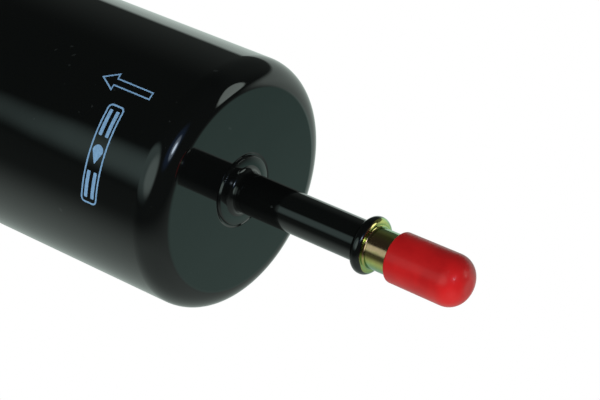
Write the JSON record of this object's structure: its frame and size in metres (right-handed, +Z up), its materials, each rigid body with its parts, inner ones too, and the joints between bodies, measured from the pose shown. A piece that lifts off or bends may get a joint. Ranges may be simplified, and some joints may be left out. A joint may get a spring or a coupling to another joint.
{
  "type": "in-line fuel filter",
  "caption": "In-line fuel filter: gloss black steel can with a double-seamed cover, a beaded quick-connect spigot on the axis at each end and red push-on dust caps.",
  "frame": {"origin": "on the can's axis, half way between the inlet face and the seam rim, in the middle of the stretch that a clamp band holds", "axes": "+X along the flow axis, out of the inlet spigot, so fuel flows towards -X; +Z up; -Y is the side that carries the printed arrow"},
  "size_m": [0.1945, 0.0536, 0.0536],
  "materials": {
    "black_enamel": "gloss black baked enamel",
    "tube_plating": "yellow zinc chromate beyond the bead, gloss black enamel before it",
    "red_vinyl": "satin dip-moulded vinyl",
    "sealant": "grey seaming compound",
    "paper": "resin-treated pleated filter paper",
    "plain_steel": "tinned stamping",
    "spring_steel": "drawn spring wire",
    "plastisol": "cured plastisol adhesive",
    "seal_rubber": "moulded fuel-resistant rubber"
  },
  "bodies": {
    "filter": {"can_shell": "black_enamel", "end_cover": "black_enamel", "seam_sealant": "sealant", "inlet_tube": "tube_plating", "outlet_tube": "tube_plating", "inlet_collar": "black_enamel", "outlet_collar": "black_enamel", "inlet_braze": "black_enamel", "outlet_braze": "black_enamel", "pleated_media": "paper", "side_seam_clip": "plain_steel", "core_tube": "plain_steel", "closed_end_cap": "plain_steel", "open_end_cap": "plain_steel", "closed_end_potting": "plastisol", "open_end_potting": "plastisol", "outlet_grommet": "seal_rubber", "element_spring": "spring_steel"},
    "inlet_cap": {"inlet_cap": "red_vinyl"},
    "outlet_cap": {"outlet_cap": "red_vinyl"}
  },
  "joints": [
    {"name": "inlet_cap_pull", "type": "slide", "parent": "filter", "child": "inlet_cap", "axis": [1, 0, 0], "range_m": [0, 0.06]},
    {"name": "outlet_cap_pull", "type": "slide", "parent": "filter", "child": "outlet_cap", "axis": [-1, 0, 0], "range_m": [0, 0.06]}
  ]
}
